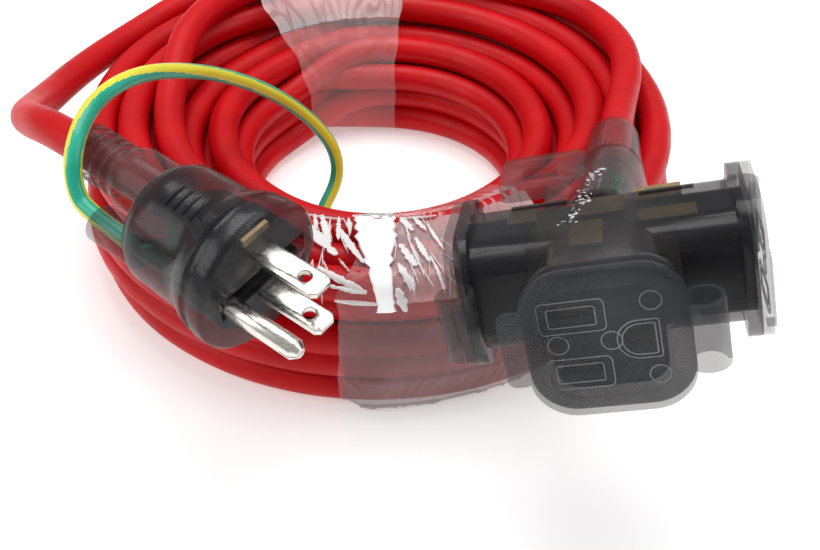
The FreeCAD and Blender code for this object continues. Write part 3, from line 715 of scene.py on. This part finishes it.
def thread(name, points, radius, material, body, closed=False):
    """A fine raised line through points, in metres."""
    curve = bpy.data.curves.new(name, "CURVE")
    curve.dimensions = "3D"
    curve.bevel_depth = radius
    curve.bevel_resolution = 2
    spline = curve.splines.new("POLY")
    spline.points.add(len(points) - 1)
    for spot, point in zip(spline.points, points):
        spot.co = (*point, 1)
    spline.use_cyclic_u = closed
    curve.use_fill_caps = not closed
    curve.materials.append(material)
    return link_new(name, curve, body)


def rounded_path(low_x, high_x, low_z, high_z, radii):
    """A closed outline with its own radius at each corner: right top, left top, left bottom, right bottom."""
    path = []
    spots = ((high_x, high_z, -1, -1), (low_x, high_z, 1, -1), (low_x, low_z, 1, 1), (high_x, low_z, -1, 1))
    for quarter, ((x, z, inward_x, inward_z), radius) in enumerate(zip(spots, radii)):
        for k in range(7):
            turn = math.pi / 2 * (quarter + k / 6)
            path.append((x + inward_x * radius + math.cos(turn) * radius,
                         z + inward_z * radius + math.sin(turn) * radius))
    return path


# Outlines on a cap's face: low and high across, low and high up, then the corners' radii, in millimetres.
CAP_OUTLINES = {"surround_top": (-12.3, 0.4, 2.9, 9.8, (1.2,) * 4),
                "surround_low": (-12.3, 0.4, -9.8, -2.9, (1.2,) * 4),
                "slot_top": (-10.5, -1.4, 4.3, 8.4, (0.5,) * 4),
                "slot_low": (-10.5, -1.4, -8.4, -4.3, (0.5,) * 4),
                "earth_outer": (1.9, 10.0, -4.2, 4.2, (0.5, 4.1, 4.1, 0.5)),
                "earth_inner": (2.8, 9.2, -3.4, 3.4, (0.4, 3.3, 3.3, 0.4))}
CAP_DOTS = ((9.0, 8.2), (0.9, 0.4), (-9.3, 0.4), (9.0, -8.2))
DOT_RADIUS = 2
CAP_FACE = -31.52        # along the outlet's arm, in millimetres
CAP_LINE = 0.13 * MM     # radius of the raised lines


def cap_detail():
    """The faint outlines moulded on each cap: round the slots, round the earth hole and four dots, drawn a
    lighter grey than the cap as a painted edge highlight.
    """
    outlines = {name: rounded_path(*shape) for name, shape in CAP_OUTLINES.items()}
    for n, (x, z) in enumerate(CAP_DOTS):
        outlines[f"dot{n}"] = rounded_path(x - DOT_RADIUS, x + DOT_RADIUS, z - DOT_RADIUS, z + DOT_RADIUS,
                                           (DOT_RADIUS,) * 4)
    for side, turn in ARM_TURNS.items():
        place = TAP @ Matrix.Rotation(math.radians(turn), 4, "Z")
        for name, path in outlines.items():
            points = [place @ (Vector((x, CAP_FACE, z)) * MM) for x, z in path]
            thread(f"{side}_cap_{name}", points, CAP_LINE, MATERIALS["painted_edge_highlight"],
                   side + "_cap", closed=True)


def slab(name, local, low, high, slot):
    """A plain box on the fixed body, between two corners in a local frame, in millimetres."""
    spots = [(x, y, z) for x in (low[0], high[0]) for y in (low[1], high[1]) for z in (low[2], high[2])]
    faces = [(0, 1, 3, 2), (4, 6, 7, 5), (0, 4, 5, 1), (2, 3, 7, 6), (0, 2, 6, 4), (1, 5, 7, 3)]
    mesh = bpy.data.meshes.new(name)
    mesh.from_pydata([local @ (Vector(spot) * MM) for spot in spots], [], faces)
    mesh.materials.append(MATERIALS[slot])
    link_new(name, mesh, "root")


# On the tap's top, in its own frame and in millimetres: the strips' near left and far right corners, the
# ledges' left, right, near and far edges, each with its lower and upper level, and the line of the marks.
STRIPS = (((-20.0, 2.0), (-13.5, 11.0)), ((-6.0, -12.5), (0.8, -1.5)), ((7.5, 5.5), (17.5, 12.0)),
          ((8.0, -5.0), (20.0, 0.5)), ((-4.5, 1.5), (5.5, 9.5)))
STRIP_LEVELS = (11.6, 11.9)
LEDGES = ((-19.0, -6.8, 6.4, 7.4), (8.6, 20.0, 5.4, 6.4))
LEDGE_LEVELS = (12.9, 13.5)
MARK_LINE = ((0.6, 29.8), (-1.6, 25.0), (-3.2, 15.2), (-2.6, 9.0), (-4.6, 4.0), (-6.9, -4.6))
MARKS = 80
MARK_SPREAD = 0.8
MARK_THICK = 0.07
TAP_TOP = 13.0
NECK_START = 13          # behind this the marks lie on the round, tapering neck


def neck_radius(y):
    return 12.4 - (y - 11) * 0.0974


def frosted_marks():
    """Small flat specks scattered along a line over the tap's top and its neck."""
    rng = random.Random(3)
    whole = bmesh.new()
    for n in range(MARKS):
        part = rng.random() * (len(MARK_LINE) - 1)
        (x0, y0), (x1, y1) = MARK_LINE[int(part)], MARK_LINE[int(part) + 1]
        t = part % 1
        x = x0 + (x1 - x0) * t + rng.gauss(0, MARK_SPREAD)
        y = y0 + (y1 - y0) * t + rng.gauss(0, MARK_SPREAD)
        radius = neck_radius(y)
        z = math.sqrt(radius * radius - x * x) if y > NECK_START else TAP_TOP
        wide = rng.uniform(0.1, 0.5)
        size = Matrix.Diagonal((wide * rng.uniform(0.6, 1.6), wide, MARK_THICK, 1 / MM)) * MM
        size[3][3] = 1
        bmesh.ops.create_icosphere(whole, subdivisions=1, radius=1,
                                   matrix=TAP @ Matrix.Translation(Vector((x, y, z)) * MM) @ size)
    mesh = bpy.data.meshes.new("frosted_marks")
    whole.to_mesh(mesh)
    whole.free()
    mesh.materials.append(MATERIALS["frosted"])
    link_new("frosted_marks", mesh, "root")


def tap_detail():
    """Contact strips seen through the tap's smoked top, its two ledges and frosted marks."""
    for n, ((left, near), (right, far)) in enumerate(STRIPS):
        slab(f"strip_window{n}", TAP, (left, near, STRIP_LEVELS[0]), (right, far, STRIP_LEVELS[1]),
             "brass_strip")
    for n, (left, right, near, far) in enumerate(LEDGES):
        slab(f"ledge{n}", TAP, (left, near, LEDGE_LEVELS[0]), (right, far, LEDGE_LEVELS[1]), "smoke_pvc")
    frosted_marks()


# In the plug's own frame, in millimetres: the ribs' first place, spacing, radius about the body's middle and
# their line's radius, then from and to in degrees round the body; and two corners of the blade's clamp.
RIBS = 4
RIB_FIRST, RIB_STEP, RIB_RADIUS, RIB_LINE = -20.6, 2.5, 15.5, 0.5
RIB_ARC = (88, 110)
BODY_MIDDLE = -2.3
BLADE_CLAMP = ((-1.2, -5.0, 12.4), (-0.2, 2.4, 14.2))


def plug_detail():
    """Four short grip ribs on the plug's body and the metal seen beside its upper blade."""
    for n in range(RIBS):
        points = []
        for k in range(9):
            turn = math.radians(RIB_ARC[0] + (RIB_ARC[1] - RIB_ARC[0]) * k / 8)
            points.append(PLUG @ (Vector((RIB_FIRST + RIB_STEP * n, BODY_MIDDLE + RIB_RADIUS * math.cos(turn),
                                          RIB_RADIUS * math.sin(turn))) * MM))
        thread(f"grip_rib{n}", points, RIB_LINE * MM, MATERIALS["smoke_pvc"], "root")
    slab("blade_clamp", PLUG, *BLADE_CLAMP, "brass_strip")


# ---------------------------------------------------------------- build

camera()
floor()
lights()
cable()
earth_lead()
film("front", *BANDS["front"])
film_folds()
film("back", *BANDS["back"])
cap_detail()
tap_detail()
plug_detail()
REPLACED = {"cord_coil", "plug_end_cable", "tap_end_cable", "earth_lead", "front_film", "back_film"}
for name in frame["nodes"]:
    if name not in REPLACED:
        dress(name, 0 if name == "plug_strain_relief" else EDGE)
